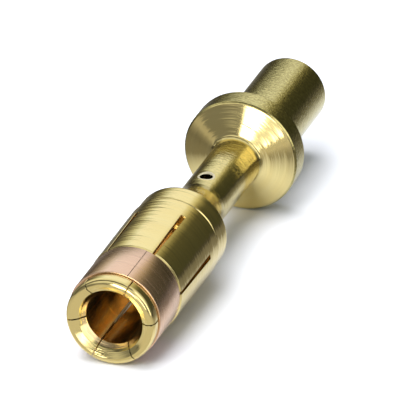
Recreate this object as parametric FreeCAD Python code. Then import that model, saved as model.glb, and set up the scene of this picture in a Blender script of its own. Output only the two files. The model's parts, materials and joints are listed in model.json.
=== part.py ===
import FreeCAD, Part
import math
import os

Vector = FreeCAD.Vector

# Female crimp contact for a round 3.6 mm pin: a turned brass body whose socket is
# sawn into six fingers, and a split spring ring seated in a groove round them.
# All sizes are millimetres. The contact is drawn straight, on an axis along +Y that
# starts at the mouth of the socket and ends at the wire end. It is then laid down.

# Socket: mouth, funnel and bore
PIN_R = 1.80
PIN_CLEARANCE = 0.02
LIP_R = 3.07
LIP_LENGTH = 1.00
LIP_ROUNDING = 0.38
FUNNEL_MOUTH_R = 2.62
FUNNEL_STEP_R = 2.22
FUNNEL_STEP_DEPTH = 0.24
FUNNEL_DEPTH = 0.75
CONTACT_LAND = 3.60
BORE_BACK_R = 2.04
BORE_PAST_SLOTS = 1.90
DRILL_POINT_ANGLE = 118.0

# Fingers: six saw cuts, as wide as the saw at their root and nearly shut at the
# mouth, because the fingers are squeezed inwards to grip the pin
FINGER_COUNT = 6
SLOT_END_FROM_COLLAR = 1.50
SLOT_ROOT_WIDTH = 0.33
SLOT_MOUTH_WIDTH = 0.06
FIRST_SLOT_ANGLE = 25.5
FINGER_CLOSING = 0.03

# Spring ring and the groove that holds it
RING_R = 3.17
RING_WALL = 0.25
RING_LENGTH = 3.84
RING_EDGE_ROUNDING = 0.04
RING_SEAM_WIDTH = 0.06
RING_SEAM_ANGLE = 17.0
RING_SIDE_CLEARANCE = 0.06
RING_SEAT_CLEARANCE = 0.04
RING_SHIFT_SHARE = 0.75

# Barrel of the socket behind the ring, with a slightly smaller collar at its back that
# runs down to the neck in a long hollow flare
BODY_R = 3.25
BODY_FRONT_CHAMFER = 0.09
BODY_LENGTH = 7.24
COLLAR_R = 3.17
COLLAR_LENGTH = 1.90
COLLAR_ROUNDING = 0.35
SHOULDER_RUN = 2.60
SHOULDER_FILLET = 6.00

# Neck with its vent hole
NECK_R = 1.70
NECK_LENGTH = 8.20
VENT_R = 0.43
VENT_CHAMFER = 0.10
VENT_FROM_COLLAR = 5.00
PASSAGE_R = 0.55
PASSAGE_OVERRUN = 0.40

# Flange with a shallow cone on its front
FLANGE_R = 3.94
FLANGE_CONE_EDGE_R = 3.82
FLANGE_CONE_DEPTH = 0.90
FLANGE_FILLET = 0.35
FLANGE_EDGE_CHAMFER = 0.14
FLANGE_BAND = 1.56
FLANGE_BACK_CHAMFER = 0.10

# Crimp barrel and its wire bore
BARREL_R = 2.44
BARREL_LENGTH = 8.80
BARREL_END_CHAMFER = 0.22
BARREL_FILLET = 0.15
WIRE_BORE_R = 1.65
WIRE_BORE_DEPTH = 9.00
WIRE_MOUTH_CHAMFER = 0.20

# Where the seam line of every turned face lies: beside the top of the contact, so that
# neither the vent hole nor the line it rests on falls on a seam
TURN_START_ANGLE = 5.71

# Stations along the axis
groove_front = LIP_LENGTH
ring_front = groove_front + RING_SIDE_CLEARANCE
ring_back = ring_front + RING_LENGTH
body_front = ring_back + RING_SIDE_CLEARANCE
body_back = body_front + BODY_LENGTH
slot_end = body_back - SLOT_END_FROM_COLLAR
bore_depth = slot_end + BORE_PAST_SLOTS
collar_back = body_back + COLLAR_LENGTH
shoulder_back = collar_back + SHOULDER_RUN
vent_station = collar_back + VENT_FROM_COLLAR
neck_back = shoulder_back + NECK_LENGTH
cone_back = neck_back + FLANGE_CONE_DEPTH
band_front = cone_back + FLANGE_EDGE_CHAMFER
flange_back = band_front + FLANGE_BAND
wire_end = flange_back + BARREL_LENGTH

bore_r = PIN_R + PIN_CLEARANCE
ring_inner_r = RING_R - RING_WALL
groove_r = ring_inner_r - RING_SEAT_CLEARANCE
land_back = FUNNEL_DEPTH + CONTACT_LAND
body_front_r = BODY_R - FINGER_CLOSING
ring_shift = RING_SHIFT_SHARE * RING_SEAT_CLEARANCE
beyond = 2.0 * FLANGE_R


def drill_point(radius):
    """Length of the cone that a drill of this radius leaves at the end of its hole."""
    return radius / math.tan(math.radians(DRILL_POINT_ANGLE / 2.0))


def rounded_edges(corners):
    """Edges of a closed outline in the plane x = 0 from (y, r, rounding) corners."""
    points = [Vector(0.0, y, r) for y, r, rounding in corners]
    stretches = []
    for index, corner in enumerate(points):
        rounding = corners[index][2]
        to_last = (points[index - 1] - corner).normalize()
        to_next = (points[(index + 1) % len(points)] - corner).normalize()
        if rounding == 0.0:
            stretches.append((corner, corner, None))
            continue
        half = to_last.getAngle(to_next) / 2.0
        reach = rounding / math.tan(half)
        bisector = (to_last + to_next).normalize()
        middle = corner + bisector * (rounding / math.sin(half) - rounding)
        stretches.append((corner + to_last * reach, corner + to_next * reach, middle))
    edges = []
    for index, (enter, leave, middle) in enumerate(stretches):
        if middle is not None:
            edges.append(Part.Arc(enter, middle, leave).toShape())
        following = stretches[(index + 1) % len(stretches)][0]
        edges.append(Part.makeLine(leave, following))
    return edges


def about_axis(shape, angle):
    """Shape turned about the contact's axis, away from straight up towards +X."""
    moved = shape.copy()
    moved.rotate(Vector(0, 0, 0), Vector(0, 1, 0), angle)
    return moved


def turned(corners):
    """Solid turned about the contact's axis from a half section."""
    outline = Part.Wire(Part.__sortEdges__(rounded_edges(corners)))
    section = about_axis(Part.Face(outline), TURN_START_ANGLE)
    return section.revolve(Vector(0, 0, 0), Vector(0, 1, 0), 360)


def turned_blank():
    """Outside of the body, from the rounded lip to the wire end."""
    return turned([
        (0.0, 0.0, 0.0),
        (0.0, LIP_R, LIP_ROUNDING),
        (groove_front, LIP_R, 0.0),
        (groove_front, groove_r, 0.0),
        (body_front, groove_r, 0.0),
        (body_front, body_front_r - BODY_FRONT_CHAMFER, 0.0),
        (body_front + BODY_FRONT_CHAMFER, body_front_r, 0.0),
        (slot_end, BODY_R, 0.0),
        (body_back, BODY_R, 0.0),
        (body_back + BODY_R - COLLAR_R, COLLAR_R, 0.0),
        (collar_back, COLLAR_R, COLLAR_ROUNDING),
        (shoulder_back, NECK_R, SHOULDER_FILLET),
        (neck_back, NECK_R, FLANGE_FILLET),
        (cone_back, FLANGE_CONE_EDGE_R, 0.0),
        (band_front, FLANGE_R, 0.0),
        (flange_back - FLANGE_BACK_CHAMFER, FLANGE_R, 0.0),
        (flange_back, FLANGE_R - FLANGE_BACK_CHAMFER, 0.0),
        (flange_back, BARREL_R, BARREL_FILLET),
        (wire_end - BARREL_END_CHAMFER, BARREL_R, 0.0),
        (wire_end, BARREL_R - BARREL_END_CHAMFER, 0.0),
        (wire_end, 0.0, 0.0),
    ])


def socket_bore():
    """Space for the pin: funnel, straight contact land, and the bore opening out behind."""
    return turned([
        (0.0, 0.0, 0.0),
        (0.0, FUNNEL_MOUTH_R, 0.0),
        (FUNNEL_STEP_DEPTH, FUNNEL_STEP_R, 0.0),
        (FUNNEL_DEPTH, bore_r, 0.0),
        (land_back, bore_r, 0.0),
        (slot_end, BORE_BACK_R, 0.0),
        (bore_depth, BORE_BACK_R, 0.0),
        (bore_depth + drill_point(BORE_BACK_R), 0.0, 0.0),
    ])


def wire_bore():
    """Space for the stripped wire, and the narrow passage that vents it to the neck."""
    bore_end = wire_end - WIRE_BORE_DEPTH
    cone_end = bore_end - drill_point(WIRE_BORE_R) + drill_point(PASSAGE_R)
    passage_end = vent_station - VENT_R - PASSAGE_OVERRUN
    return turned([
        (passage_end - drill_point(PASSAGE_R), 0.0, 0.0),
        (passage_end, PASSAGE_R, 0.0),
        (cone_end, PASSAGE_R, 0.0),
        (bore_end, WIRE_BORE_R, 0.0),
        (wire_end - WIRE_MOUTH_CHAMFER, WIRE_BORE_R, 0.0),
        (wire_end, WIRE_BORE_R + WIRE_MOUTH_CHAMFER, 0.0),
        (wire_end, 0.0, 0.0),
    ])


def finger_slots():
    """Radial saw cuts from the mouth back to the finger roots, one for each finger."""
    half_root = SLOT_ROOT_WIDTH / 2.0
    half_mouth = SLOT_MOUTH_WIDTH / 2.0
    corners = [
        Vector(-half_mouth, 0.0, 0.0),
        Vector(half_mouth, 0.0, 0.0),
        Vector(half_root, slot_end, 0.0),
        Vector(-half_root, slot_end, 0.0),
        Vector(-half_mouth, 0.0, 0.0),
    ]
    cut = Part.Face(Part.makePolygon(corners)).extrude(Vector(0, 0, beyond))
    pitch = 360.0 / FINGER_COUNT
    return [about_axis(cut, FIRST_SLOT_ANGLE + index * pitch) for index in range(FINGER_COUNT)]


def vent():
    """Hole from the top of the neck into the passage, with its rim broken by a cone."""
    drilled = Part.makeCylinder(VENT_R, NECK_R + VENT_CHAMFER, Vector(0, vent_station, 0))
    rim = Part.makeCone(
        VENT_R,
        VENT_R + 2.0 * VENT_CHAMFER,
        2.0 * VENT_CHAMFER,
        Vector(0, vent_station, NECK_R - VENT_CHAMFER),
    )
    return drilled.fuse(rim)


def contact_body():
    """One turned piece: blank, both bores, vent hole and finger slots."""
    return turned_blank().cut([socket_bore(), wire_bore(), vent()] + finger_slots())


def spring_ring():
    """Rolled strip ring with an open seam. The contact lies on it, so it is pushed up in
    its groove and sits a little off centre there."""
    edge = RING_EDGE_ROUNDING
    ring = turned([
        (ring_front, ring_inner_r, 0.0),
        (ring_front, RING_R, edge),
        (ring_back, RING_R, edge),
        (ring_back, ring_inner_r, 0.0),
    ])
    seam = Part.makeBox(
        RING_SEAM_WIDTH,
        RING_LENGTH,
        beyond,
        Vector(-RING_SEAM_WIDTH / 2.0, ring_front, 0.0),
    )
    ring = ring.cut(about_axis(seam, RING_SEAM_ANGLE))
    ring.translate(Vector(0, 0, ring_shift))
    return ring


def lying_tilt():
    """Slope of the axis when the contact lies on its flange and its foremost low edge."""
    edges_in_front = [
        (ring_front + RING_EDGE_ROUNDING, RING_R - ring_shift),
        (body_front + BODY_FRONT_CHAMFER, body_front_r),
        (body_back, BODY_R),
        (collar_back, COLLAR_R),
    ]
    slopes = [(FLANGE_R - r) / (band_front - y) for y, r in edges_in_front]
    return math.degrees(math.atan(min(slopes)))


def laid_down(shapes):
    """The pieces at rest on z = 0, with the middle of their box over the origin."""
    whole = Part.makeCompound(list(shapes.values()))
    whole.rotate(Vector(0, 0, 0), Vector(1, 0, 0), lying_tilt())
    box = whole.optimalBoundingBox(False, False)
    whole.translate(Vector(-box.Center.x, -box.Center.y, -box.ZMin))
    return dict(zip(shapes, whole.Solids))


def main():
    nodes = laid_down({"contact_body": contact_body(), "spring_ring": spring_ring()})
    os.makedirs("parts", exist_ok=True)
    for name, solid in nodes.items():
        solid.exportStep(f"parts/{name}.step")


main()
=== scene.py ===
import json
import math
import bmesh
import bpy
from mathutils import Matrix, Vector


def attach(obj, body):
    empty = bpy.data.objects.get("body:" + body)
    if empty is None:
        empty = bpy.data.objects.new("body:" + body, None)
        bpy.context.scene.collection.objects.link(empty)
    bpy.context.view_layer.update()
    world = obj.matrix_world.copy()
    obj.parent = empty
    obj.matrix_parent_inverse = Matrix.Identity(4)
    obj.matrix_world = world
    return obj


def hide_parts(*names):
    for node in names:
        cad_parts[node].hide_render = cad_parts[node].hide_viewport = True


# Female crimp contact for a round 3.6 mm pin, lying on a pale table: a turned and plated
# brass body whose socket is sawn into six fingers, and a split spring ring round them.
# Both pieces are drawn straight in millimetres, on an axis along +Y that starts at the
# mouth of the socket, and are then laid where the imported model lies.

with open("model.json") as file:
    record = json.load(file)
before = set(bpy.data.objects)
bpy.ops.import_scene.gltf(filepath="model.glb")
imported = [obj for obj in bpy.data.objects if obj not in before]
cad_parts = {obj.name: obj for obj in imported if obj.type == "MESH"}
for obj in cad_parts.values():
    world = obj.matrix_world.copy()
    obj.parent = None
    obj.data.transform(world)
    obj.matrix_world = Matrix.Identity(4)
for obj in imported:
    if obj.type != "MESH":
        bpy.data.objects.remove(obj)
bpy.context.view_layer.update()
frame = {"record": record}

MM = 0.001

# Socket: mouth, funnel and bore
LIP_R = 3.07
LIP_ROUNDING = 0.38
GROOVE_FRONT = 1.00
FUNNEL_MOUTH_R = 2.62
FUNNEL_STEP_R = 2.22
FUNNEL_STEP_DEPTH = 0.24
FUNNEL_DEPTH = 0.75
FUNNEL_THROAT_ROUNDING = 0.15
BORE_R = 1.82
LAND_BACK = 4.35
BORE_BACK_R = 2.04
BORE_DEPTH = 12.60
DRILL_SLOPE = math.tan(math.radians(118.0 / 2.0))

# Saw cuts between the fingers
FINGER_COUNT = 6
FIRST_SLOT_ANGLE = 25.5
SLOT_END = 10.70
SLOT_ROOT_WIDTH = 0.33
SLOT_MOUTH_WIDTH = 0.06

# Spring ring in its groove
RING_R = 3.17
RING_WALL = 0.25
RING_FRONT = 1.06
RING_LENGTH = 3.84
RING_EDGE_ROUNDING = 0.04
RING_SEAM_WIDTH = 0.035
RING_SEAM_ANGLE = 17.0
RING_SHIFT = 0.03
GROOVE_R = 2.88

# Outside of the body
BODY_FRONT = 4.96
BODY_FRONT_R = 3.22
BODY_FRONT_CHAMFER = 0.09
BODY_R = 3.25
BODY_BACK = 12.20
BODY_BACK_ROUNDING = 0.06
COLLAR_R = 3.17
COLLAR_BACK = 14.10
COLLAR_ROUNDING = 0.35
SHOULDER_BACK = 16.70
SHOULDER_FILLET = 6.00
NECK_R = 1.70
NECK_BACK = 24.90
FLANGE_FILLET = 0.35
CONE_BACK = 25.80
FLANGE_CONE_EDGE_R = 3.82
BAND_FRONT = 25.94
FLANGE_R = 3.94
FLANGE_BACK = 27.50
FLANGE_BACK_CHAMFER = 0.10
BARREL_R = 2.44
BARREL_FILLET = 0.15
BARREL_END_CHAMFER = 0.22
BARREL_END_ROUNDINGS = (0.06, 0.05)
WIRE_END = 36.30
WIRE_MOUTH_CHAMFER = 0.20
WIRE_BORE_R = 1.65
WIRE_BORE_FRONT = 27.30

# Fine groove of the tool behind the body's edge: its stations count from BODY_BACK
TOOL_GROOVE_FRONT = 0.12
TOOL_GROOVE_BACK = 0.16
TOOL_GROOVE_END = 0.25
TOOL_GROOVE_DEPTH = 0.06
TOOL_GROOVE_ROUNDING = 0.02

# Vent hole and the narrow passage it opens into
VENT_STATION = 19.10
VENT_R = 0.43
VENT_CHAMFER = 0.10
PASSAGE_R = 0.55
PASSAGE_FRONT = 18.27

# Broken edges of the saw cuts, and the rounding of the other sharp edges
EDGE_BREAK = 0.02
FINE_EDGE = 0.03

# Steps of the mesh round a finger, over half a saw cut and round a rounded corner
FINGER_STEPS = 28
HALF_CUT_STEPS = 2
CORNER_STEPS = 6
# A straight stretch longer than the second value gets a row this far from each of its
# ends, so that the shading of a corner doesn't spread over it
CLOSING_ROW = 0.035
CLOSING_STRETCH = 5.0 * CLOSING_ROW
# Points along the ring's strip, and steps round each of its rounded edges
STRIP_POINTS = 241
STRIP_EDGE_STEPS = 4
# Rows of the neck and the passage near the vent hole
PATCH_HALF_LENGTH = 0.95
PATCH_ROWS = 10
# Faces taken out for the hole: this near the surface, within this share of those rows
# and, on the neck and in the passage, within these angles from the top
PATCH_DEPTH = 0.02
PATCH_SHARE = 0.7
NECK_PATCH_ANGLE = math.radians(25.0)
PASSAGE_PATCH_ANGLE = math.radians(66.0)
# Rows on the neck in shares of the way to the hole's rim, and rows in the hole below its
# cone; the rim's reach settles within this many passes
RIM_SHARES = (0.3, 0.55, 0.75, 0.9, 1.0)
HOLE_DROPS = (0.0, 0.03)
RIM_PASSES = 8
# Vertices this near are one, and an edge this sharp, in degrees, stays sharp
SAME_PLACE = 0.0005
SHARP_ANGLE = 32.0

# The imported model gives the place: the middle of the flange's band, and the axis
band = next(m for m in frame["record"]["mounts"] if m["name"] == "flange_band")
axis = Vector(band["axis"])
tilt = math.atan2(axis.z, axis.y)
band_middle = (BAND_FRONT + FLANGE_BACK - FLANGE_BACK_CHAMFER) / 2.0
mouth_centre = Vector(band["pos_m"]) - axis * (band_middle * MM)
LAID_DOWN = (
    Matrix.Translation(mouth_centre)
    @ Matrix.Rotation(tilt, 4, "X")
    @ Matrix.Scale(MM, 4)
)


def outline(corners):
    """Points (y, r) along a half section; each corner is (y, r, rounding)."""
    points = [Vector(corner[:2]) for corner in corners]
    found = [points[0]]
    for index in range(1, len(points) - 1):
        corner = points[index]
        rounding = corners[index][2]
        if rounding == 0.0:
            found.append(corner)
            continue
        to_last = (points[index - 1] - corner).normalized()
        to_next = (points[index + 1] - corner).normalized()
        half = to_last.angle(to_next) / 2.0
        centre = corner + (to_last + to_next).normalized() * (rounding / math.sin(half))
        spoke = corner + to_last * (rounding / math.tan(half)) - centre
        turn = math.copysign(math.pi - 2.0 * half, to_next.cross(to_last))
        for step in range(CORNER_STEPS + 1):
            found.append(centre + Matrix.Rotation(turn * step / CORNER_STEPS, 2) @ spoke)
    found.append(points[-1])
    closed = [found[0]]
    for last, point in zip(found, found[1:]):
        along = point - last
        if along.length > CLOSING_STRETCH:
            closed.append(last + along.normalized() * CLOSING_ROW)
            closed.append(point - along.normalized() * CLOSING_ROW)
        closed.append(point)
    return closed


def outward(points):
    """Unit normal at each point of an outline that is walked with its solid on the left."""
    normals = []
    for index in range(len(points)):
        last = points[max(index - 1, 0)]
        following = points[min(index + 1, len(points) - 1)]
        along = (following - last).normalized()
        normals.append(Vector((along.y, -along.x)))
    return normals


def finger_section():
    """Half section of a finger, from its root forward on the outside and back in the bore."""
    return outline([
        (SLOT_END, BODY_R, 0.0),
        (BODY_FRONT + BODY_FRONT_CHAMFER, BODY_FRONT_R, FINE_EDGE),
        (BODY_FRONT, BODY_FRONT_R - BODY_FRONT_CHAMFER, FINE_EDGE),
        (BODY_FRONT, GROOVE_R, 0.0),
        (GROOVE_FRONT, GROOVE_R, 0.0),
        (GROOVE_FRONT, LIP_R, FINE_EDGE),
        (0.0, LIP_R, LIP_ROUNDING),
        (0.0, FUNNEL_MOUTH_R, FINE_EDGE),
        (FUNNEL_STEP_DEPTH, FUNNEL_STEP_R, FINE_EDGE),
        (FUNNEL_DEPTH, BORE_R, FUNNEL_THROAT_ROUNDING),
        (LAND_BACK, BORE_R, 0.0),
        (SLOT_END, BORE_BACK_R, 0.0),
    ])


def back_outside():
    """Half section behind the saw cuts: outside to the wire end, then in to the passage."""
    cone_front = WIRE_BORE_FRONT - (WIRE_BORE_R - PASSAGE_R) / DRILL_SLOPE
    vent_stations = [
        VENT_STATION + PATCH_HALF_LENGTH * (2.0 * row / PATCH_ROWS - 1.0)
        for row in range(PATCH_ROWS + 1)
    ]
    neck_rows = [(y, NECK_R, 0.0) for y in vent_stations]
    passage_rows = [
        (y, PASSAGE_R, 0.0)
        for y in reversed(vent_stations)
        if y > PASSAGE_FRONT + CLOSING_ROW
    ]
    return outline([
        (SLOT_END + EDGE_BREAK, BODY_R, 0.0),
        (BODY_BACK, BODY_R, BODY_BACK_ROUNDING),
        (BODY_BACK + TOOL_GROOVE_FRONT, COLLAR_R - TOOL_GROOVE_DEPTH, 0.0),
        (BODY_BACK + TOOL_GROOVE_BACK, COLLAR_R - TOOL_GROOVE_DEPTH, 0.0),
        (BODY_BACK + TOOL_GROOVE_END, COLLAR_R, TOOL_GROOVE_ROUNDING),
        (COLLAR_BACK, COLLAR_R, COLLAR_ROUNDING),
        (SHOULDER_BACK, NECK_R, SHOULDER_FILLET),
        *neck_rows,
        (NECK_BACK, NECK_R, FLANGE_FILLET),
        (CONE_BACK, FLANGE_CONE_EDGE_R, FINE_EDGE),
        (BAND_FRONT, FLANGE_R, FINE_EDGE),
        (FLANGE_BACK - FLANGE_BACK_CHAMFER, FLANGE_R, FINE_EDGE),
        (FLANGE_BACK, FLANGE_R - FLANGE_BACK_CHAMFER, FINE_EDGE),
        (FLANGE_BACK, BARREL_R, BARREL_FILLET),
        (WIRE_END - BARREL_END_CHAMFER, BARREL_R, BARREL_END_ROUNDINGS[0]),
        (WIRE_END, BARREL_R - BARREL_END_CHAMFER, BARREL_END_ROUNDINGS[1]),
        (WIRE_END, WIRE_BORE_R + WIRE_MOUTH_CHAMFER, FINE_EDGE),
        (WIRE_END - WIRE_MOUTH_CHAMFER, WIRE_BORE_R, FINE_EDGE),
        (WIRE_BORE_FRONT, WIRE_BORE_R, 0.0),
        (cone_front, PASSAGE_R, 0.0),
        *passage_rows,
        (PASSAGE_FRONT, PASSAGE_R, 0.0),
        (PASSAGE_FRONT - PASSAGE_R / DRILL_SLOPE, 0.0, 0.0),
    ])


def back_bore():
    """Half section of the socket bore behind the saw cuts, to the point the drill left."""
    return outline([
        (SLOT_END + EDGE_BREAK, BORE_BACK_R, 0.0),
        (BORE_DEPTH, BORE_BACK_R, 0.0),
        (BORE_DEPTH + BORE_BACK_R / DRILL_SLOPE, 0.0, 0.0),
    ])


def half_cut(y):
    """Half width of a saw cut at a station."""
    share = min(y / SLOT_END, 1.0)
    return (SLOT_MOUTH_WIDTH + (SLOT_ROOT_WIDTH - SLOT_MOUTH_WIDTH) * share) / 2.0


def finger_angles(y, r, edge_r):
    """Angles of the columns of one finger, with its broken edges as the first and last."""
    pitch = 2.0 * math.pi / FINGER_COUNT
    edge = math.asin(half_cut(y) / edge_r)
    first = math.asin((half_cut(y) + EDGE_BREAK) / r)
    inner = [
        first + (pitch - 2.0 * first) * step / (FINGER_STEPS - 2)
        for step in range(FINGER_STEPS - 1)
    ]
    return [edge, *inner, pitch - edge]


def turned_vertex(bm, y, r, angle):
    """Vertex at an angle from straight up towards +X."""
    return bm.verts.new((r * math.sin(angle), y, r * math.cos(angle)))


def sew(bm, row, following):
    """Faces between two rows of vertices; a row of one vertex is a point on the axis."""
    for index in range(len(row) - 1):
        if len(following) == 1:
            bm.faces.new((row[index], row[index + 1], following[0]))
        else:
            bm.faces.new((row[index], row[index + 1], following[index + 1], following[index]))


def root_row(bm, edge_r, finger_row):
    """Row at the root of the saw cuts: a finger's own row with half a cut on each side."""
    edge = math.asin(half_cut(SLOT_END) / edge_r)
    pitch = 2.0 * math.pi / FINGER_COUNT
    turns = [edge * step / HALF_CUT_STEPS for step in range(HALF_CUT_STEPS)]
    before = [turned_vertex(bm, SLOT_END, edge_r, turn) for turn in turns]
    after = [turned_vertex(bm, SLOT_END, edge_r, pitch - turn) for turn in reversed(turns)]
    return before + finger_row + after


def back_row(bm, y, r, like):
    """Whole row behind the saw cuts, with its columns at the angles of the root's row."""
    if r == 0.0:
        return [bm.verts.new((0.0, y, 0.0))]
    angles = [math.atan2(vertex.co.x, vertex.co.z) for vertex in like]
    return [turned_vertex(bm, y, r, angle) for angle in angles]


def finger_sector():
    """One sixth of the body: a finger between two half saw cuts, and all that lies behind."""
    bm = bmesh.new()
    section = finger_section()
    rows = []
    for (y, r), normal in zip(section, outward(section)):
        edge_y = y - normal.x * EDGE_BREAK
        edge_r = r - normal.y * EDGE_BREAK
        angles = finger_angles(y, r, edge_r)
        row = [turned_vertex(bm, edge_y, edge_r, angles[0])]
        row += [turned_vertex(bm, y, r, angle) for angle in angles[1:-1]]
        row.append(turned_vertex(bm, edge_y, edge_r, angles[-1]))
        rows.append(row)
    for row, following in zip(rows, rows[1:]):
        sew(bm, row, following)
    bm.faces.new([row[0] for row in rows])
    bm.faces.new([row[-1] for row in reversed(rows)])
    outside = root_row(bm, BODY_R - EDGE_BREAK, rows[0])
    inside = root_row(bm, BORE_BACK_R + EDGE_BREAK, rows[-1])
    sew(bm, outside[:HALF_CUT_STEPS + 1], inside[:HALF_CUT_STEPS + 1])
    sew(bm, outside[-HALF_CUT_STEPS - 1:], inside[-HALF_CUT_STEPS - 1:])
    for root, half_section in ((outside, back_outside()), (inside, back_bore())):
        behind = [back_row(bm, y, r, root) for y, r in half_section]
        for row, following in zip([root] + behind, behind):
            sew(bm, row, following)
    mesh = bpy.data.meshes.new("finger_sector")
    bm.to_mesh(mesh)
    bm.free()
    return mesh


def add(tree, kind, given=None, **settings):
    """Node of a kind with its settings. Each socket in given takes a value or an output."""
    node = tree.nodes.new(kind)
    for name, value in settings.items():
        setattr(node, name, value)
    for socket, source in (given or {}).items():
        if isinstance(source, bpy.types.NodeSocket):
            tree.links.new(source, node.inputs[socket])
        else:
            node.inputs[socket].default_value = source
    return node


def geometry_tree(name, sizes):
    """Empty geometry tree with a named input for each size, and a material."""
    tree = bpy.data.node_groups.new(name, "GeometryNodeTree")
    tree.interface.new_socket("Geometry", in_out="OUTPUT", socket_type="NodeSocketGeometry")
    tree.interface.new_socket("Geometry", in_out="INPUT", socket_type="NodeSocketGeometry")
    for size, kind in sizes.items():
        tree.interface.new_socket(size, in_out="INPUT", socket_type="NodeSocket" + kind)
    tree.interface.new_socket("Material", in_out="INPUT", socket_type="NodeSocketMaterial")
    return tree


def grown(name, mesh, tree, sizes):
    """Plain mesh that a geometry tree makes of a mesh, with the named sizes."""
    mesh.materials.append(sizes["Material"])
    piece = bpy.data.objects.new(name, mesh)
    bpy.context.scene.collection.objects.link(piece)
    modifier = piece.modifiers.new(tree.name, "NODES")
    modifier.node_group = tree
    for socket in tree.interface.items_tree:
        if socket.in_out == "INPUT" and socket.name in sizes:
            modifier[socket.identifier] = sizes[socket.name]
    bpy.context.view_layer.update()
    evaluated = piece.evaluated_get(bpy.context.evaluated_depsgraph_get())
    result = bpy.data.meshes.new_from_object(evaluated)
    piece.modifiers.remove(modifier)
    piece.data = result
    result.name = name
    return piece


def round_the_axis():
    """Tree that sets copies of a sector round the axis and welds them into one skin."""
    tree = geometry_tree("fingers_round_the_axis", {
        "Count": "Int", "First Angle": "Float", "Same Place": "Float",
    })
    given = add(tree, "NodeGroupInput").outputs
    index = add(tree, "GeometryNodeInputIndex").outputs["Index"]
    pitch = add(tree, "ShaderNodeMath", {
        0: 2.0 * math.pi, 1: given["Count"],
    }, operation="DIVIDE").outputs[0]
    angle = add(tree, "ShaderNodeMath", {
        0: index, 1: pitch, 2: given["First Angle"],
    }, operation="MULTIPLY_ADD").outputs[0]
    turn = add(tree, "FunctionNodeAxisAngleToRotation", {
        "Axis": (0.0, 1.0, 0.0), "Angle": angle,
    }).outputs[0]
    points = add(tree, "GeometryNodePoints", {"Count": given["Count"]}).outputs[0]
    placed = add(tree, "GeometryNodeInstanceOnPoints", {
        "Points": points, "Instance": given["Geometry"], "Rotation": turn,
    }).outputs[0]
    real = add(tree, "GeometryNodeRealizeInstances", {"Geometry": placed}).outputs[0]
    welded = add(tree, "GeometryNodeMergeByDistance", {
        "Geometry": real, "Distance": given["Same Place"],
    }).outputs[0]
    dressed = add(tree, "GeometryNodeSetMaterial", {
        "Geometry": welded, "Material": given["Material"],
    }).outputs[0]
    add(tree, "NodeGroupOutput", {"Geometry": dressed})
    return tree


def rolled_strip():
    """Tree that rolls a strip with rounded edges round the axis, open at its seam."""
    tree = geometry_tree("rolled_strip", {
        "Middle Radius": "Float", "Seam Angle": "Float", "Half Seam": "Float",
        "Wall": "Float", "Length": "Float", "Rounding": "Float",
    })
    given = add(tree, "NodeGroupInput").outputs
    start = add(tree, "ShaderNodeMath", {
        0: given["Seam Angle"], 1: given["Half Seam"],
    }, operation="ADD").outputs[0]
    sweep = add(tree, "ShaderNodeMath", {
        0: given["Half Seam"], 1: -2.0, 2: 2.0 * math.pi,
    }, operation="MULTIPLY_ADD").outputs[0]
    path = add(tree, "GeometryNodeCurveArc", {
        "Resolution": STRIP_POINTS, "Radius": given["Middle Radius"],
        "Start Angle": start, "Sweep Angle": sweep,
    }, mode="RADIUS").outputs[0]
    section = add(tree, "GeometryNodeCurvePrimitiveQuadrilateral", {
        "Width": given["Wall"], "Height": given["Length"],
    }).outputs[0]
    rounded = add(tree, "GeometryNodeFilletCurve", {
        "Curve": section, "Count": STRIP_EDGE_STEPS, "Radius": given["Rounding"],
    }, mode="POLY").outputs[0]
    strip = add(tree, "GeometryNodeCurveToMesh", {
        "Curve": path, "Profile Curve": rounded, "Fill Caps": True,
    }).outputs[0]
    real = add(tree, "GeometryNodeRealizeInstances", {"Geometry": strip}).outputs[0]
    dressed = add(tree, "GeometryNodeSetMaterial", {
        "Geometry": real, "Material": given["Material"],
    }).outputs[0]
    add(tree, "NodeGroupOutput", {"Geometry": dressed})
    return tree


def around_vent(vertex):
    """Place of a vertex from the vent: round its own turned surface, and along the axis."""
    r = math.hypot(vertex.co.x, vertex.co.z)
    return Vector((r * math.atan2(vertex.co.x, vertex.co.z), vertex.co.y - VENT_STATION))


def open_patch(bm, surface_r, half_angle):
    """Takes out the faces of a turned surface over the vent; gives the border in order."""
    faces = []
    for face in bm.faces:
        centre = face.calc_center_median()
        if (
            abs(math.hypot(centre.x, centre.z) - surface_r) < PATCH_DEPTH
            and abs(centre.y - VENT_STATION) < PATCH_HALF_LENGTH * PATCH_SHARE
            and abs(math.atan2(centre.x, centre.z)) < half_angle
        ):
            faces.append(face)
    border = {
        vertex for face in faces for vertex in face.verts
        if any(other not in faces for other in vertex.link_faces)
    }
    bmesh.ops.delete(bm, geom=faces, context="FACES")
    places = {vertex: around_vent(vertex) for vertex in border}
    return sorted(border, key=lambda vertex: math.atan2(places[vertex].x, places[vertex].y))


def rim_place(turn):
    """Place on the neck, at a turn round the vent, where the cone round the hole meets it."""
    reach = VENT_R
    for _ in range(RIM_PASSES):
        height = math.sqrt(NECK_R ** 2 - (reach * math.sin(turn)) ** 2)
        reach = VENT_R + height - (NECK_R - VENT_CHAMFER)
    return Vector((NECK_R * math.asin(reach * math.sin(turn) / NECK_R), reach * math.cos(turn)))


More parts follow.
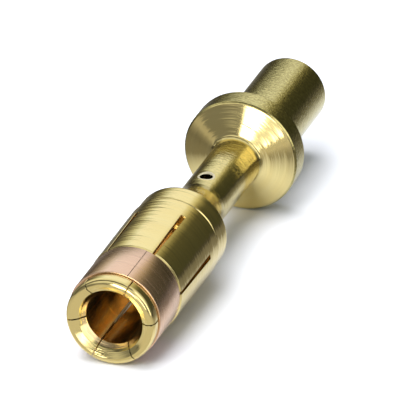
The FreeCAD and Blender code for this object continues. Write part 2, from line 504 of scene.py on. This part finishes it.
def drill_vent(bm):
    """Vent hole through the top of the neck into the passage, with a cone round its rim."""
    border = open_patch(bm, NECK_R, NECK_PATCH_ANGLE)
    below = open_patch(bm, PASSAGE_R, PASSAGE_PATCH_ANGLE)
    places = [around_vent(vertex) for vertex in border]
    turns = [math.atan2(place.x, place.y) for place in places]
    rows = [border]
    for share in RIM_SHARES:
        spots = [place.lerp(rim_place(turn), share) for place, turn in zip(places, turns)]
        rows.append([
            turned_vertex(bm, VENT_STATION + spot.y, NECK_R, spot.x / NECK_R) for spot in spots
        ])
    wall = [(VENT_R * math.sin(turn), VENT_STATION + VENT_R * math.cos(turn)) for turn in turns]
    for drop in HOLE_DROPS:
        rows.append([bm.verts.new((x, y, NECK_R - VENT_CHAMFER - drop)) for x, y in wall])
    rows.append([bm.verts.new((x, y, math.sqrt(PASSAGE_R ** 2 - x ** 2))) for x, y in wall])
    for row, following in zip(rows, rows[1:]):
        sew(bm, row + row[:1], following + following[:1])
    edges = []
    for loop in (rows[-1], below):
        for last, vertex in zip(loop, loop[1:] + loop[:1]):
            edge = bm.edges.get((last, vertex))
            edges.append(edge if edge else bm.edges.new((last, vertex)))
    bmesh.ops.bridge_loops(bm, edges=edges)


def finished(piece, node, drill=None):
    """Gives a piece its hole, its outward faces, its sharp edges and its place, hangs it on the
    root body and hides the imported part.
    """
    bm = bmesh.new()
    bm.from_mesh(piece.data)
    if drill:
        drill(bm)
    bmesh.ops.remove_doubles(bm, verts=bm.verts, dist=SAME_PLACE)
    bmesh.ops.recalc_face_normals(bm, faces=bm.faces)
    bm.to_mesh(piece.data)
    bm.free()
    piece.data.transform(LAID_DOWN)
    piece.data.shade_smooth()
    piece.data.set_sharp_from_angle(angle=math.radians(SHARP_ANGLE))
    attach(piece, "root")
    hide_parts(node)


def linear(colour):
    """Linear colour of an sRGB hex value."""
    channels = [int(colour[start:start + 2], 16) / 255.0 for start in (0, 2, 4)]
    return [
        c / 12.92 if c <= 0.04045 else ((c + 0.055) / 1.055) ** 2.4 for c in channels
    ] + [1.0]


def bare_material(name):
    """Material with an empty tree, and that tree."""
    material = bpy.data.materials.new(name)
    material.use_nodes = True
    material.node_tree.nodes.clear()
    return material, material.node_tree


def places_on_contact(tree):
    """The contact's own places in millimetres: straight, and its parts along the axis, up,
    across the axis and out from it. Section holds the parts out and along together."""
    place = add(tree, "ShaderNodeTexCoord").outputs["Object"]
    straight = add(tree, "ShaderNodeMapping", {
        "Vector": place, "Location": mouth_centre, "Rotation": (tilt, 0.0, 0.0),
        "Scale": (MM, MM, MM),
    }, vector_type="TEXTURE").outputs[0]
    parts = add(tree, "ShaderNodeSeparateXYZ", {0: straight}).outputs
    across = add(tree, "ShaderNodeCombineXYZ", {0: parts["X"], 2: parts["Z"]}).outputs[0]
    radius = add(tree, "ShaderNodeVectorMath", {0: across}, operation="LENGTH").outputs["Value"]
    section = add(tree, "ShaderNodeCombineXYZ", {0: radius, 1: parts["Y"]}).outputs[0]
    return {
        "straight": straight, "along": parts["Y"], "up": parts["Z"],
        "across": across, "radius": radius, "section": section,
    }


def marks_round_axis(tree, known, fineness, drift, detail):
    """Noise drawn out round the axis: fineness across the marks, drift along them, per mm."""
    fine = add(tree, "ShaderNodeVectorMath", {
        0: known["section"], "Scale": fineness,
    }, operation="SCALE").outputs[0]
    slow = add(tree, "ShaderNodeVectorMath", {
        0: known["across"], "Scale": drift,
    }, operation="SCALE").outputs[0]
    both = add(tree, "ShaderNodeVectorMath", {0: fine, 1: slow}, operation="ADD").outputs[0]
    return add(tree, "ShaderNodeTexNoise", {
        "Vector": both, "Scale": 1.0, "Detail": detail, "Roughness": 0.6,
    }).outputs["Fac"]


def polished(tree, tint, roughness, height, depth):
    """Ends the tree of a metal, with its marks as a bump of a depth in metres."""
    bump = add(tree, "ShaderNodeBump", {
        "Height": height, "Strength": 1.0, "Distance": depth,
    }).outputs[0]
    shader = add(tree, "ShaderNodeBsdfPrincipled", {
        "Metallic": 1.0, "Base Color": tint, "Roughness": roughness, "Normal": bump,
    }).outputs[0]
    add(tree, "ShaderNodeOutputMaterial", {"Surface": shader})


# Nearly all of a noise lies between these values
NOISE_LOW = 0.3
NOISE_HIGH = 0.7
# Soft edge of a mask; the painted shade of a cut starts this far outside the bore
MASK_EDGE = 0.05
BORE_SKIN = 0.3
# Half the width of the painted highlight on the cone round the vent hole
RIM_HALF_WIDTH = 0.8 * VENT_CHAMFER
# Heights of the wide marks and of the grain, against the fine marks, and the depths in
# metres of the marks on the body and of the streaks on the ring
WIDE_HEIGHT = 2.6
GRAIN_HEIGHT = 1.5
MARKS_DEPTH = 0.014 * MM
STREAKS_DEPTH = 0.0022 * MM

# Values that go from one to another between two places or two values of a noise. Each row
# is a name, what it follows, where it starts and ends, and its value at both.
BRASS_FADES = [
    ("behind_cone", "along", CONE_BACK, CONE_BACK + MASK_EDGE, 0.0, 1.0),
    ("on_neck", "along", COLLAR_BACK, SHOULDER_BACK, 0.0, 0.5),
    ("in_bore", "radius", BORE_BACK_R + MASK_EDGE, BORE_BACK_R, 0.0, 1.0),
    ("turned_roughness", "fine", NOISE_LOW, NOISE_HIGH, 0.06, 0.14),
    ("tumbled_roughness", "speckle", NOISE_LOW, NOISE_HIGH, 0.05, 0.10),
]
# Limits, products and the larger of two. Each row is a name, an operation and what it
# takes: earlier results by name, or a number.
BRASS_SUMS = [
    # The surface that was tumble-finished, its tint painted darker as painted shade: all that
    # lies behind the cone, and half of it on the neck
    ("before_cone", "LESS_THAN", "along", NECK_BACK),
    ("neck_share", "MULTIPLY", "on_neck", "before_cone"),
    ("tumbled_and_shaded", "MAXIMUM", "behind_cone", "neck_share"),
    # The reamed bore: duller, its tint a little warmer as a painted reflection of its own walls
    ("in_socket", "LESS_THAN", "along", COLLAR_BACK),
    ("reamed_and_warm_reflection", "MULTIPLY", "in_bore", "in_socket"),
    # Saw cuts: duller, and painted brown as painted shade in these narrow recesses
    ("past_lip", "GREATER_THAN", "along", GROOVE_FRONT),
    ("before_root", "LESS_THAN", "along", SLOT_END + EDGE_BREAK),
    ("below_skin", "LESS_THAN", "radius", BODY_FRONT_R - BODY_FRONT_CHAMFER),
    ("off_bore", "GREATER_THAN", "radius", BORE_BACK_R + BORE_SKIN),
    ("along_cuts", "MULTIPLY", "past_lip", "before_root"),
    ("in_wall", "MULTIPLY", "below_skin", "off_bore"),
    ("sawn_and_shaded", "MULTIPLY", "along_cuts", "in_wall"),
    # Painted highlight: a pale ring on the cone round the vent hole
    ("near_top", "GREATER_THAN", "up", NECK_R - VENT_CHAMFER),
    ("rim_highlight", "MULTIPLY", "round_vent", "near_top"),
    ("grain", "MULTIPLY", "speckle", GRAIN_HEIGHT),
]
# Roughness and tint of the other surfaces. The reamer leaves the socket's bore duller than
# the turned outside, and its tint is painted a little warmer, a painted reflection of the
# light its walls throw on each other. The saw leaves its cuts duller still, and they are
# painted brown, painted shade in these narrow recesses. The cone round the vent hole is
# rough and painted pale, a painted highlight.
BRASS_LAYERS = [
    ("reamed_and_warm_reflection", 0.17, "FAE0AE"),
    ("sawn_and_shaded", 0.45, "CFA04A"),
    ("rim_highlight", 0.6, "FFF8E0"),
]


def plated_turned_brass():
    """Free-cutting brass, turned on a lathe and flashed with gold: pale greenish gold that
    mirrors the room, broken up by the marks the tool left round the axis. The flange's band
    and the crimp barrel were tumble-finished more than burnished, so they are speckled, and
    their tint is painted darker, painted shade standing in for their darker reflections; the
    neck is halfway between."""
    material, tree = bare_material("plated_turned_brass")
    known = places_on_contact(tree)
    # Feed marks are about 0.05 mm apart. The fine ones are drawn four times coarser, so
    # that they show, and the wide ones are the slow waves of the tool, 0.8 mm long.
    known["fine"] = marks_round_axis(tree, known, fineness=4.6, drift=0.40, detail=3.0)
    known["wide"] = marks_round_axis(tree, known, fineness=1.3, drift=0.12, detail=2.0)
    # Tumbling leaves dents of about 0.06 mm, drawn three times coarser so that they show
    known["speckle"] = add(tree, "ShaderNodeTexNoise", {
        "Vector": known["straight"], "Scale": 5.5, "Detail": 3.0, "Roughness": 0.75,
    }).outputs["Fac"]
    from_vent = add(tree, "ShaderNodeVectorMath", {
        0: known["straight"], 1: (0.0, VENT_STATION, NECK_R),
    }, operation="DISTANCE").outputs["Value"]
    known["round_vent"] = add(tree, "ShaderNodeMath", {
        0: from_vent, 1: VENT_R + RIM_HALF_WIDTH, 2: RIM_HALF_WIDTH,
    }, operation="COMPARE").outputs[0]
    for name, source, first, last, low, high in BRASS_FADES:
        known[name] = add(tree, "ShaderNodeMapRange", {
            "Value": known[source], "From Min": first, "From Max": last,
            "To Min": low, "To Max": high,
        }).outputs[0]
    for name, operation, first, second in BRASS_SUMS:
        known[name] = add(tree, "ShaderNodeMath", {
            0: known[first], 1: known.get(second, second),
        }, operation=operation).outputs[0]
    burnished_tint = add(tree, "ShaderNodeMix", {
        0: known["wide"], 6: linear("F3E4A6"), 7: linear("EFDA94"),
    }, data_type="RGBA").outputs[2]
    # Grain of the tumble-finished surface, painted darker overall as painted shade
    shaded_tumbled_tint = add(tree, "ShaderNodeMix", {
        0: known["speckle"], 6: linear("80763E"), 7: linear("FFF3AC"),
    }, data_type="RGBA").outputs[2]
    tint = add(tree, "ShaderNodeMix", {
        0: known["tumbled_and_shaded"], 6: burnished_tint, 7: shaded_tumbled_tint,
    }, data_type="RGBA").outputs[2]
    roughness = add(tree, "ShaderNodeMix", {
        0: known["tumbled_and_shaded"], 2: known["turned_roughness"], 3: known["tumbled_roughness"],
    }, data_type="FLOAT").outputs[0]
    for mask, layer_roughness, layer_tint in BRASS_LAYERS:
        tint = add(tree, "ShaderNodeMix", {
            0: known[mask], 6: tint, 7: linear(layer_tint),
        }, data_type="RGBA").outputs[2]
        roughness = add(tree, "ShaderNodeMix", {
            0: known[mask], 2: roughness, 3: layer_roughness,
        }, data_type="FLOAT").outputs[0]
    marks = add(tree, "ShaderNodeMath", {
        0: known["wide"], 1: WIDE_HEIGHT, 2: known["fine"],
    }, operation="MULTIPLY_ADD").outputs[0]
    height = add(tree, "ShaderNodeMix", {
        0: known["tumbled_and_shaded"], 2: marks, 3: known["grain"],
    }, data_type="FLOAT").outputs[0]
    polished(tree, tint, roughness, height, MARKS_DEPTH)
    return material


def rolled_copper_alloy():
    """Copper alloy strip, rolled hard and bent round a mandrel: warm, pinkish and satin,
    with faint streaks along the rolling direction, which runs round the ring."""
    material, tree = bare_material("rolled_copper_alloy")
    known = places_on_contact(tree)
    # Rolling streaks are about 0.03 mm wide; these are drawn about five times coarser
    streaks = marks_round_axis(tree, known, fineness=7.0, drift=0.5, detail=3.0)
    # Faint clouds of tarnish, a millimetre across
    cloud = add(tree, "ShaderNodeTexNoise", {
        "Vector": known["across"], "Scale": 0.9, "Detail": 2.0,
    }).outputs["Fac"]
    tint = add(tree, "ShaderNodeMix", {
        0: cloud, 6: linear("F0D0B6"), 7: linear("E4BEA4"),
    }, data_type="RGBA").outputs[2]
    roughness = add(tree, "ShaderNodeMapRange", {
        "Value": streaks, "From Min": NOISE_LOW, "From Max": NOISE_HIGH,
        "To Min": 0.17, "To Max": 0.30,
    }).outputs[0]
    polished(tree, tint, roughness, streaks, STREAKS_DEPTH)
    return material


def stage_piece(name, bm, material):
    """Stage object from a bmesh."""
    mesh = bpy.data.meshes.new(name)
    bm.to_mesh(mesh)
    bm.free()
    mesh.materials.append(material)
    piece = bpy.data.objects.new(name, mesh)
    bpy.context.scene.collection.objects.link(piece)
    return piece


def only_mirrored(card):
    """Lets a stage card show in reflections and nowhere else."""
    card.visible_camera = False
    card.visible_diffuse = False
    card.visible_transmission = False
    card.visible_volume_scatter = False
    card.visible_shadow = False


# Half sides of the table and of the shade card above it, in metres; the card, painted shade
# that only reflections see, lies a hair above the table
TABLE_HALF = 4.0
SHADE_CARD_HALF = 2.0
SHADE_CARD_Z = 0.02 * MM


def build_table():
    """Plain pale table top."""
    material, tree = bare_material("matt_white_paper")
    shader = add(tree, "ShaderNodeBsdfDiffuse", {"Color": linear("F0F0F2")}).outputs[0]
    add(tree, "ShaderNodeOutputMaterial", {"Surface": shader})
    bm = bmesh.new()
    bmesh.ops.create_grid(bm, x_segments=1, y_segments=1, size=TABLE_HALF)
    stage_piece("table_top", bm, material)


# What the metal mirrors at each angle round the axis, from the left horizon (-90) over the
# top (0) to the right horizon (90): a soft box behind the contact, falling off to the left.
# These are linear amounts of light, which may be above 1.
ROOM = [
    (-90.0, (0.05, 0.045, 0.03)),
    (-64.0, (0.09, 0.08, 0.055)),
    (-52.0, (0.24, 0.22, 0.14)),
    (-42.0, (0.62, 0.61, 0.44)),
    (-32.0, (0.98, 1.02, 1.00)),
    (-20.0, (1.12, 1.22, 1.50)),
    (-4.0, (1.12, 1.22, 1.50)),
    (7.0, (1.00, 1.00, 0.96)),
    (16.0, (0.68, 0.62, 0.38)),
    (24.0, (0.27, 0.24, 0.12)),
    (34.0, (0.06, 0.06, 0.035)),
    (90.0, (0.06, 0.06, 0.035)),
]
# Radius of the dome in metres, and its faces round and up
ROOM_R = 0.15
ROOM_FACES = (64, 32)
# The soft box narrows away from the contact, round this angle
BOX_MIDDLE = math.radians(10.0)
# Linear colour of the light in front
LAMP_COLOUR = (1.0, 0.98, 0.90, 1.0)
# Rises and falls of the room's light. Each row is a name, an axis, where it starts and
# ends in shares of ROOM_R, and its value at both.
ROOM_FADES = [
    # The soft box: its taper, where it starts, and how it falls off towards its far end
    ("taper", "Y", 0.80, 0.92, 0.78, 1.70),
    ("behind", "Y", 0.25, 0.62, 0.0, 1.0),
    ("fading", "Y", 0.82, 0.90, 1.04, 0.72),
    # The ceiling in front, and the dark gap in it, which ends in a bright lamp on the right
    ("ceiling", "Z", 0.28, 0.52, 0.22, 0.85),
    ("gap_front", "Y", -0.50, -0.45, 0.0, 1.0),
    ("gap_back", "Y", -0.20, -0.12, 1.0, 0.0),
    ("gap_light", "X", 0.46, 0.60, 0.12, 1.7),
    # Low in front: a window and a lamp side by side, below the dark wall over the camera
    ("low_front", "Y", -0.80, -0.90, 0.0, 1.0),
    ("high", "Z", 0.365, 0.40, 0.0, 1.0),
    ("window", "X", -0.24, -0.17, 0.0, 6.0),
    ("past_window", "X", 0.06, 0.14, 0.0, -5.2),
    ("second_lamp", "X", 0.31, 0.40, 0.0, 2.8),
    ("past_second", "X", 0.70, 0.80, 0.0, -2.8),
]
# What is worked out from them, in order, as in BRASS_SUMS
ROOM_SUMS = [
    ("angle", "ARCTAN2", "X", "Z"),
    ("off_middle", "SUBTRACT", "angle", BOX_MIDDLE),
    ("tapered", "MULTIPLY", "off_middle", "taper"),
    ("box_angle", "ADD", "tapered", BOX_MIDDLE),
    ("back_strength", "MULTIPLY", "behind", "fading"),
    ("in_front", "SUBTRACT", 1.0, "behind"),
    ("whole_ceiling", "MULTIPLY", "ceiling", "in_front"),
    ("gap", "MULTIPLY", "gap_front", "gap_back"),
    ("lit_gap", "MULTIPLY", "gap", "gap_light"),
    ("beside_gap", "SUBTRACT", 1.0, "gap"),
    ("split_ceiling", "MULTIPLY", "whole_ceiling", "beside_gap"),
    ("camera_wall", "MULTIPLY", "low_front", "high"),
    ("wall_shade", "MULTIPLY", "camera_wall", 0.85),
    ("off_wall", "SUBTRACT", 1.0, "wall_shade"),
    ("shaded_ceiling", "MULTIPLY", "split_ceiling", "off_wall"),
    ("above_front", "ADD", "shaded_ceiling", "lit_gap"),
    ("window_light", "ADD", "window", "past_window"),
    ("second_light", "ADD", "second_lamp", "past_second"),
    ("both_lights", "ADD", "window_light", "second_light"),
    ("below_wall", "SUBTRACT", 1.0, "high"),
    ("lamp_place", "MULTIPLY", "low_front", "below_wall"),
    ("lamp_strength", "MULTIPLY", "both_lights", "lamp_place"),
    ("front_strength", "ADD", "above_front", "lamp_strength"),
]


def build_room():
    """Dome that only reflections see: the soft box behind, ceiling and lamps in front."""
    material, tree = bare_material("studio_room")
    place = add(tree, "ShaderNodeTexCoord").outputs["Object"]
    parts = add(tree, "ShaderNodeSeparateXYZ", {0: place}).outputs
    known = {letter: parts[letter] for letter in "XYZ"}
    for name, along, first, last, low, high in ROOM_FADES:
        known[name] = add(tree, "ShaderNodeMapRange", {
            "Value": known[along], "From Min": first * ROOM_R, "From Max": last * ROOM_R,
            "To Min": low, "To Max": high,
        }).outputs[0]
    for name, operation, first, second in ROOM_SUMS:
        known[name] = add(tree, "ShaderNodeMath", {
            0: known.get(first, first), 1: known.get(second, second),
        }, operation=operation).outputs[0]
    share = add(tree, "ShaderNodeMapRange", {
        "Value": known["box_angle"], "From Min": -math.pi / 2.0, "From Max": math.pi / 2.0,
    }).outputs[0]
    ramp = add(tree, "ShaderNodeValToRGB", {0: share})
    ramp.color_ramp.interpolation = "B_SPLINE"
    while len(ramp.color_ramp.elements) < len(ROOM):
        ramp.color_ramp.elements.new(0.5)
    for element, (degrees, colour) in zip(ramp.color_ramp.elements, ROOM):
        element.position = (degrees + 90.0) / 180.0
        element.color = (*colour, 1.0)
    back_light = add(tree, "ShaderNodeEmission", {
        "Color": ramp.outputs[0], "Strength": known["back_strength"],
    }).outputs[0]
    front_light = add(tree, "ShaderNodeEmission", {
        "Color": LAMP_COLOUR, "Strength": known["front_strength"],
    }).outputs[0]
    both = add(tree, "ShaderNodeAddShader", {0: back_light, 1: front_light}).outputs[0]
    add(tree, "ShaderNodeOutputMaterial", {"Surface": both})
    bm = bmesh.new()
    bmesh.ops.create_uvsphere(
        bm, u_segments=ROOM_FACES[0], v_segments=ROOM_FACES[1], radius=ROOM_R,
    )
    only_mirrored(stage_piece("studio_room", bm, material))


# Linear colour of the dim light the shade card gives off, a painted reflection of the shaded
# table
SHADE_CARD_COLOUR = (1.0, 0.94, 0.82, 1.0)
# Where the shade card covers the paper, and how bright its painted reflection is, as in
# ROOM_FADES but in metres, with the shape of each fade last
SHADE_CARD_FADES = [
    ("far", "distance", 0.022, 0.040, 0.0, 1.0, "SMOOTHSTEP"),
    ("beside", "aside", 0.001, 0.0095, 0.0, 1.0, "LINEAR"),
    ("past_mouth", "Y", -0.0178, -0.0186, 0.0, 1.0, "LINEAR"),
    ("fading", "aside", 0.008, 0.040, 0.24, 0.06, "LINEAR"),
    ("before", "Y", -0.002, -0.020, 0.0, 0.42, "LINEAR"),
]
SHADE_CARD_SUMS = [
    ("off_paper", "MAXIMUM", "far", "beside"),
    ("cover", "MAXIMUM", "off_paper", "past_mouth"),
    ("strength", "ADD", "fading", "before"),
]


def build_mirrored_shade_card():
    """Card of painted shade round a strip of paper under the contact, which only reflections
    see: it stands in for the dim, shaded table there, and glows a little brighter in front.
    """
    material, tree = bare_material("mirrored_shade_card")
    place = add(tree, "ShaderNodeTexCoord").outputs["Object"]
    parts = add(tree, "ShaderNodeSeparateXYZ", {0: place}).outputs
    known = {
        "Y": parts["Y"],
        "aside": add(tree, "ShaderNodeMath", {0: parts["X"]}, operation="ABSOLUTE").outputs[0],
        "distance": add(
            tree, "ShaderNodeVectorMath", {0: place}, operation="LENGTH",
        ).outputs["Value"],
    }
    for name, source, first, last, low, high, shape in SHADE_CARD_FADES:
        known[name] = add(tree, "ShaderNodeMapRange", {
            "Value": known[source], "From Min": first, "From Max": last,
            "To Min": low, "To Max": high,
        }, interpolation_type=shape).outputs[0]
    for name, operation, first, second in SHADE_CARD_SUMS:
        known[name] = add(tree, "ShaderNodeMath", {
            0: known[first], 1: known[second],
        }, operation=operation).outputs[0]
    # Painted shade that only reflections see: clear over the strip, dim beyond it
    clear = add(tree, "ShaderNodeBsdfTransparent").outputs[0]
    dark = add(tree, "ShaderNodeEmission", {
        "Color": SHADE_CARD_COLOUR, "Strength": known["strength"],
    }).outputs[0]
    mixed = add(tree, "ShaderNodeMixShader", {0: known["cover"], 1: clear, 2: dark}).outputs[0]
    add(tree, "ShaderNodeOutputMaterial", {"Surface": mixed})
    bm = bmesh.new()
    bmesh.ops.create_grid(bm, x_segments=1, y_segments=1, size=SHADE_CARD_HALF)
    card = stage_piece("mirrored_shade_card", bm, material)
    card.location.z = SHADE_CARD_Z
    only_mirrored(card)


# Name, place, side and power of each soft box: the key light is above on the left and the
# second one in front
SOFT_BOXES = [
    ("key_light", (-0.06, 0.02, 0.42), 0.36, 2.2),
    ("front_light", (-0.07, -0.33, 0.29), 0.24, 1.35),
]
# Linear colours of these and of the light all round, and the strength of the last
SOFT_BOX_COLOUR = (0.97, 0.98, 1.0)
WORLD_COLOUR = (0.76, 0.86, 1.0, 1.0)
WORLD_STRENGTH = 0.36


def build_light():
    """Soft boxes aimed at the contact, left out of the reflections, and light all round."""
    for name, place, side, power in SOFT_BOXES:
        light = bpy.data.lights.new(name, "AREA")
        light.shape = "SQUARE"
        light.size = side
        light.energy = power
        light.color = SOFT_BOX_COLOUR
        lamp = bpy.data.objects.new(name, light)
        facing = Vector(place).to_track_quat("Z", "Y")
        lamp.matrix_world = Matrix.Translation(place) @ facing.to_matrix().to_4x4()
        lamp.visible_glossy = False
        bpy.context.scene.collection.objects.link(lamp)
    world = bpy.data.worlds.new("pale_room")
    world.use_nodes = True
    world.node_tree.nodes.clear()
    glow = add(world.node_tree, "ShaderNodeBackground", {
        "Color": WORLD_COLOUR, "Strength": WORLD_STRENGTH,
    }).outputs[0]
    add(world.node_tree, "ShaderNodeOutputWorld", {"Surface": glow})
    bpy.context.scene.world = world


# The photograph's view: degrees round and above the contact, metres, and millimetres of
# lens. It aims at a station of the axis, moved by a little to the right and up.
CAMERA_TURN = 19.4
CAMERA_RISE = 24.7
CAMERA_DISTANCE = 1.09875
CAMERA_LENS = 1500.0
CAMERA_CLIP = 0.01
AIM_STATION = 18.46
AIM_RIGHT = -0.00022
AIM_UP = 0.00018


def build_camera():
    """Long lens at the viewing angle of the photograph."""
    turn = math.radians(CAMERA_TURN)
    rise = math.radians(CAMERA_RISE)
    back = Vector((
        math.cos(rise) * math.sin(turn),
        -math.cos(rise) * math.cos(turn),
        math.sin(rise),
    ))
    facing = back.to_track_quat("Z", "Y")
    right = facing @ Vector((1.0, 0.0, 0.0))
    up = facing @ Vector((0.0, 1.0, 0.0))
    aim = LAID_DOWN @ Vector((0.0, AIM_STATION, 0.0)) + right * AIM_RIGHT + up * AIM_UP
    lens = bpy.data.cameras.new("long_lens")
    lens.lens = CAMERA_LENS
    lens.clip_start = CAMERA_CLIP
    camera = bpy.data.objects.new("camera", lens)
    camera.matrix_world = (
        Matrix.Translation(aim + back * CAMERA_DISTANCE) @ facing.to_matrix().to_4x4()
    )
    bpy.context.scene.collection.objects.link(camera)
    bpy.context.scene.camera = camera


def build_body():
    """The turned body, made of six sectors welded round the axis."""
    piece = grown("contact_body_turned", finger_sector(), round_the_axis(), {
        "Count": FINGER_COUNT,
        "First Angle": math.radians(FIRST_SLOT_ANGLE),
        "Same Place": SAME_PLACE,
        "Material": plated_turned_brass(),
    })
    finished(piece, "contact_body", drill_vent)


# The strip is rolled in the plane z = 0 from +X; its axis goes to +Y and its start to the top
STRIP_TO_AXIS = Matrix((
    (0.0, 1.0, 0.0, 0.0),
    (0.0, 0.0, 1.0, 0.0),
    (1.0, 0.0, 0.0, 0.0),
    (0.0, 0.0, 0.0, 1.0),
))


def build_ring():
    """The spring ring, rolled from strip. The contact lies on it, so it is pushed up in its
    groove."""
    middle = RING_R - RING_WALL / 2.0
    piece = grown("spring_ring_rolled", bpy.data.meshes.new("strip"), rolled_strip(), {
        "Middle Radius": middle,
        "Seam Angle": math.radians(RING_SEAM_ANGLE),
        "Half Seam": RING_SEAM_WIDTH / 2.0 / middle,
        "Wall": RING_WALL,
        "Length": RING_LENGTH,
        "Rounding": RING_EDGE_ROUNDING,
        "Material": rolled_copper_alloy(),
    })
    ring_middle = (0.0, RING_FRONT + RING_LENGTH / 2.0, RING_SHIFT)
    piece.data.transform(Matrix.Translation(ring_middle) @ STRIP_TO_AXIS)
    finished(piece, "spring_ring")


build_body()
build_ring()
build_table()
build_room()
build_mirrored_shade_card()
build_light()
build_camera()
bpy.context.scene.view_settings.view_transform = "Standard"
